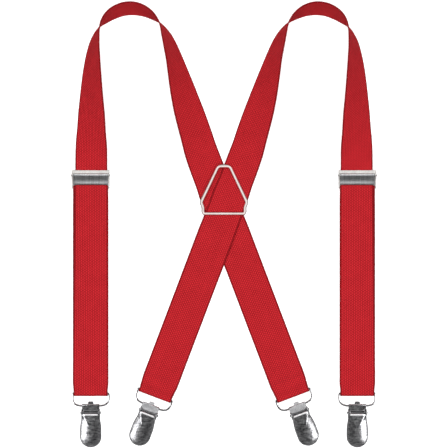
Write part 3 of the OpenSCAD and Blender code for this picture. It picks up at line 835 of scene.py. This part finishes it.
def base_shells():
    """The stamped base: tube rolled round the loop, flap with a curled end and tab over
    it, web and floor below, and two ears that hold the pin."""
    half, ear_in = EARS_W / 2, EARS_W / 2 - SHEET_T
    plan = np.vstack([
        [[-half, -3.5], [-half, EAR_Y], [1.2 - half, -16], [1.2 - half, -32]],
        arc((0, -32), half - 1.2, 180, 360, 20)[1:-1],
        [[half - 1.2, -32], [half - 1.2, -16], [half, EAR_Y], [half, -3.5]],
    ])
    top = Z_BAR + 1.75
    w = half - 0.6
    arch = np.linspace(w, -w, 15)
    flap_end = np.column_stack([arch, -5.2 + 1.1 * (np.abs(arch) / w) ** 3])
    flap = np.vstack([[[-w, 0.3], [w, 0.3]], flap_end])
    web = [[0.9, 1.6], [-0.6, 0.9], [-4, 0], [-4, SHEET_T], [-1.4, 1.9]]
    curl = np.column_stack([flap_end, np.full(len(flap_end), top - 0.1)])[1:-1]
    ear = np.vstack([
        [[-3.5, 0], [-3.5, 3.4], [-4.4, 5.0]],
        arc((PIN_Y, PIN_Z), 2.6, 30, 170, 10),
        [[-10.6, 3.4], [EAR_Y, 2.4], [EAR_Y, 0]],
    ])
    tab = np.vstack([
        [[-2.6, 1.2], [2.6, 1.2]],
        arc((1.9, 3.5), 0.7, 0, 90, 4), arc((-1.9, 3.5), 0.7, 90, 180, 4),
    ])
    return join_shells(
        plate(plan, 0, SHEET_T, 0.15, "z"),
        rolled_tube(w, 1.75, LOOP_WIRE / 2 + 0.08, Z_BAR),
        plate(flap, top - SHEET_T, top, 0.15, "z"),
        bead(curl, 0.42),
        plate(web, -w, w), plate(ear, ear_in, half), plate(ear, -half, -ear_in),
        plate(tab, Z_BAR - 0.4, Z_BAR + 0.5, 0.15, "z"),
    )


for end in ("front", "back"):
    for side in ("left", "right"):
        name = end + "_" + side
        half = [[LOOP_HALF, 0, 1.8], [LOOP_HALF, 1.2 - LOOP_LEN, 6.4], [10.4, -LOOP_LEN, 1.2]]
        shell = placed(bent_wire(rounded_path(whole(half)), LOOP_WIRE, Z_BAR), end, side, True)
        piece = add_piece(name + "_loop_wire", shell, loop_plate)
        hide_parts(name + "_loop")
        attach(piece, name + "_loop")
        shell = placed(join_shells(dome(), lug(NECK_W / 2 - 1), lug(-NECK_W / 2)), end, side)
        piece = add_piece(name + "_cover_shell", shell, cover_plate)
        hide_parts(name + "_cover")
        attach(piece, name + "_cover")
        line = [[x, ROLL_Y, ROLL_Z] for x in np.linspace(-ROLL_HALF, ROLL_HALF, 9)]
        shell = placed(bead(line, ROLL_R, 20), end, side)
        piece = add_piece(name + "_neck_roll", shell, roll_plate_painted_highlight)
        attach(piece, name + "_cover")
        shell = placed(base_shells(), end, side)
        piece = add_piece(name + "_stamped_base", shell, base_plate)
        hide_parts(name + "_base")
        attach(piece, name + "_clip")


# ---- adjusters, drawn in place on the left strap ----

ADJ_T, ADJ_PIN_Z, HUB_R, LEVER_W = 0.9, 7.6, 1.5, 35.0
ADJ_EAR_X = STRAP_W / 2 + 0.25


def round_bar(x_from, x_to, y, z, radius, sides=20):
    """Round bar along X with flat ends."""
    a = np.linspace(0, 2 * math.pi, sides, endpoint=False)
    ring = np.column_stack([y + radius * np.cos(a), z + radius * np.sin(a)])
    return plate(ring, x_from, x_to, 0.15)


def adjuster_frame_shells():
    """Back plate, two ears, top rail and the bar that the sewn end wraps."""
    outer = ADJ_EAR_X + ADJ_T
    y, sewn = ADJUSTER_Y, SEWN_BAR_Y
    ear = np.vstack([
        [[sewn - 1.1, 1.6], [sewn - 0.7, 1.3], [sewn + 5.2, 1.3], [y - 5, 3.7]],
        [[y + 5.2, 3.7], [y + 5.2, 6.7], [y + 4.6, 7.2]],
        arc((y, ADJ_PIN_Z), 1.6, 0, 180, 12),
        [[y - 3.4, 6.6], [y - 4.2, 4.8], [sewn - 0.7, 4.6], [sewn - 1.1, 4.2]],
    ])
    rail = [
        [-outer, y + 1.7], [outer, y + 1.7], [outer, y + 4.9],
        [outer - 0.3, y + 5.2], [0.3 - outer, y + 5.2], [-outer, y + 4.9],
    ]
    back = [[-outer, y - 7.6], [outer, y - 7.6], [outer, y + 5.2], [-outer, y + 5.2]]
    points, faces, flat = join_shells(
        plate(back, 3.7, 4.6, 0.15, "z"), plate(rail, 6.3, 7.2, 0.28, "z"),
        plate(ear, ADJ_EAR_X, outer), plate(ear, -outer, -ADJ_EAR_X),
        round_bar(0.3 - outer, outer - 0.3, sewn, Z_BACK + SEWN_R, 0.7),
    )
    return points - [FRONT_X, 0, 0], faces, flat


def lever_shell():
    """Lever: a hub round the pin, a tooth that bites the strap, a plate that dips and
    a lip at its free edge; one outline carried along X."""
    outline = np.vstack([
        arc((0, 0), HUB_R, -60, 105, 14),
        [[-2, 1.15], [-3.5, 0.72], [-5.2, 0.5], [-7, 0.48]],
        [[-8.4, 0.6], [-9.2, 0.5], [-9.6, 0.1]],
        [[-9.5, -0.6], [-9.3, -1.1], [-8.9, -0.6], [-8.5, -0.25], [-5.5, -0.3], [-3.2, -0.2]],
        [[-2.6, -0.7], [-1.6, -1.28], [-0.8, -1.25]],
    ])
    points, faces, flat = plate(outline, -LEVER_W / 2, LEVER_W / 2, 0.15)
    count = len(outline)
    # long faces share their shading from row to row, so the plate looks curved
    flat = [not (count <= k < 2 * count) for k in range(len(faces))]
    return points + [-FRONT_X, ADJUSTER_Y, ADJ_PIN_Z], faces, flat


for side in ("left", "right"):
    shell = both_sides(adjuster_frame_shells(), side)
    piece = add_piece(side + "_adjuster_plate", shell, frame_plate)
    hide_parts(side + "_adjuster_frame")
    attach(piece, side + "_adjuster")
    shell = both_sides(lever_shell(), side)
    piece = add_piece(side + "_lever_plate", shell, lever_plate)
    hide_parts(side + "_adjuster_lever")
    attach(piece, side + "_adjuster_lever")


# ---- finishes of the parts whose shape is the model's own ----

def finish_node(name, material):
    """Give a node of the model its finish."""
    mesh = frame["nodes"][name].data
    mesh.materials.clear()
    mesh.materials.append(material)


for name in frame["nodes"]:
    for ending, material in (
        ("_pin", pin_steel), ("_pad", grip_plastic), ("_cam", grip_plastic),
        ("cross_buckle_bar", buckle_plate_pink_reflection),
    ):
        if name.endswith(ending):
            finish_node(name, material)


# ---- floor, light and sky ----

def add_floor():
    """Wide matt floor, faintly clouded, that also glows a little for the camera."""
    size = 20.0
    corners = [(-size, -size, 0), (size, -size, 0), (size, size, 0), (-size, size, 0)]
    mesh = bpy.data.meshes.new("floor")
    mesh.from_pydata(corners, [], [(0, 1, 2, 3)])
    material, tree, shader = new_material(
        "pale_floor", Roughness=0.9, Specular_IOR_Level=0.0, Emission_Color=(1, 1, 1, 1),
    )
    seen = node(tree, "ShaderNodeLightPath").outputs["Is Camera Ray"]
    tree.links.new(maths(tree, "MULTIPLY", seen, 0.5), shader["Emission Strength"])
    place = node(tree, "ShaderNodeTexCoord").outputs["Object"]
    cloud = node(tree, "ShaderNodeTexNoise", [("Vector", place)], Scale=8.0, Detail=2.0)
    pale = mix_colors(tree, cloud.outputs["Fac"], (0.93, 0.93, 0.93), (0.95, 0.95, 0.95))
    tree.links.new(pale, shader["Base Color"])
    mesh.materials.append(material)
    floor = bpy.data.objects.new("floor", mesh)
    bpy.context.scene.collection.objects.link(floor)
    floor.visible_glossy = False


def add_light(name, place, aim, size, power, only=None, diffuse=True, glossy=True):
    """Rectangular soft light at a place, turned to face aim. A card that only shows as
    a reflection lights just the pieces whose names contain one of the given words."""
    data = bpy.data.lights.new(name, "AREA")
    data.shape, data.size, data.size_y = "RECTANGLE", *size
    data.energy = power
    light = bpy.data.objects.new(name, data)
    bpy.context.scene.collection.objects.link(light)
    z = unit(np.array(place, float) - np.array(aim, float))
    x = unit(np.cross([0, 1.0, 0], z)) if abs(z[1]) < 0.9 else np.array([1.0, 0, 0])
    y = np.cross(z, x)
    matrix = [[*row, p] for row, p in zip(np.column_stack([x, y, z]).tolist(), place)]
    light.matrix_world = Matrix(matrix + [[0, 0, 0, 1]])
    light.visible_camera = False
    light.visible_diffuse, light.visible_glossy = diffuse, glossy
    if only:
        shown = bpy.data.collections.new(name + "_pieces")
        for piece in list(bpy.data.objects):
            if piece.type == "MESH" and any(word in piece.name for word in only):
                shown.objects.link(piece)
        light.light_linking.receiver_collection = shown
    return light


def add_sky():
    """White where the camera sees it; darker overhead than near the horizon for light
    and reflections."""
    world = bpy.data.worlds.new("studio")
    bpy.context.scene.world = world
    world.use_nodes = True
    tree = world.node_tree
    tree.nodes.clear()
    direction = node(tree, "ShaderNodeTexCoord").outputs["Generated"]
    height = node(tree, "ShaderNodeSeparateXYZ", [(0, direction)]).outputs["Z"]
    level = spread(tree, height, 0.38, 0.12, -0.1, 0.8)
    sky = tree.nodes.new("ShaderNodeBackground")
    tree.links.new(level, sky.inputs["Strength"])
    white = node(tree, "ShaderNodeBackground", Strength=1.0)
    seen = node(tree, "ShaderNodeLightPath").outputs["Is Camera Ray"]
    mix = tree.nodes.new("ShaderNodeMixShader")
    tree.links.new(seen, mix.inputs[0])
    tree.links.new(sky.outputs[0], mix.inputs[1])
    tree.links.new(white.outputs[0], mix.inputs[2])
    tree.links.new(mix.outputs[0], node(tree, "ShaderNodeOutputWorld").inputs[0])
    sky.inputs["Color"].default_value = white.inputs["Color"].default_value = (1, 1, 1, 1)


add_floor()
add_sky()
add_light("overhead", (0, 0, 2.6), (0, 0, 0), (3.2, 3.2), 110, glossy=False)
for sign, side in ((-1, "left"), (1, "right")):
    add_light(
        side + "_card", (sign * 0.5, -0.22, 0.22), (sign * 0.1, -0.2, 0.0), (0.5, 0.45), 4.5,
        ["front_" + side, "back_" + side], diffuse=False,
    )
add_light(
    "far_card", (0, 0.5, 0.28), (0, -0.2, 0), (1.2, 0.3), 1.6,
    ["front_", "back_", "adjuster", "lever"], diffuse=False,
)
add_light(
    "buckle_card", (0, 0, 0.6), (0, 0, 0), (1.6, 1.6), 7.0,
    ["buckle", "adjuster_plate", "neck_roll", "back_left_stamped", "back_right_stamped"],
    diffuse=False,
)
add_light(
    "lever_card", (0, 0.40, 0.6), (0, 0.05, 0), (1.6, 0.7), 6.0, ["lever_plate"],
    diffuse=False,
)
bpy.context.scene.view_settings.view_transform = "Standard"
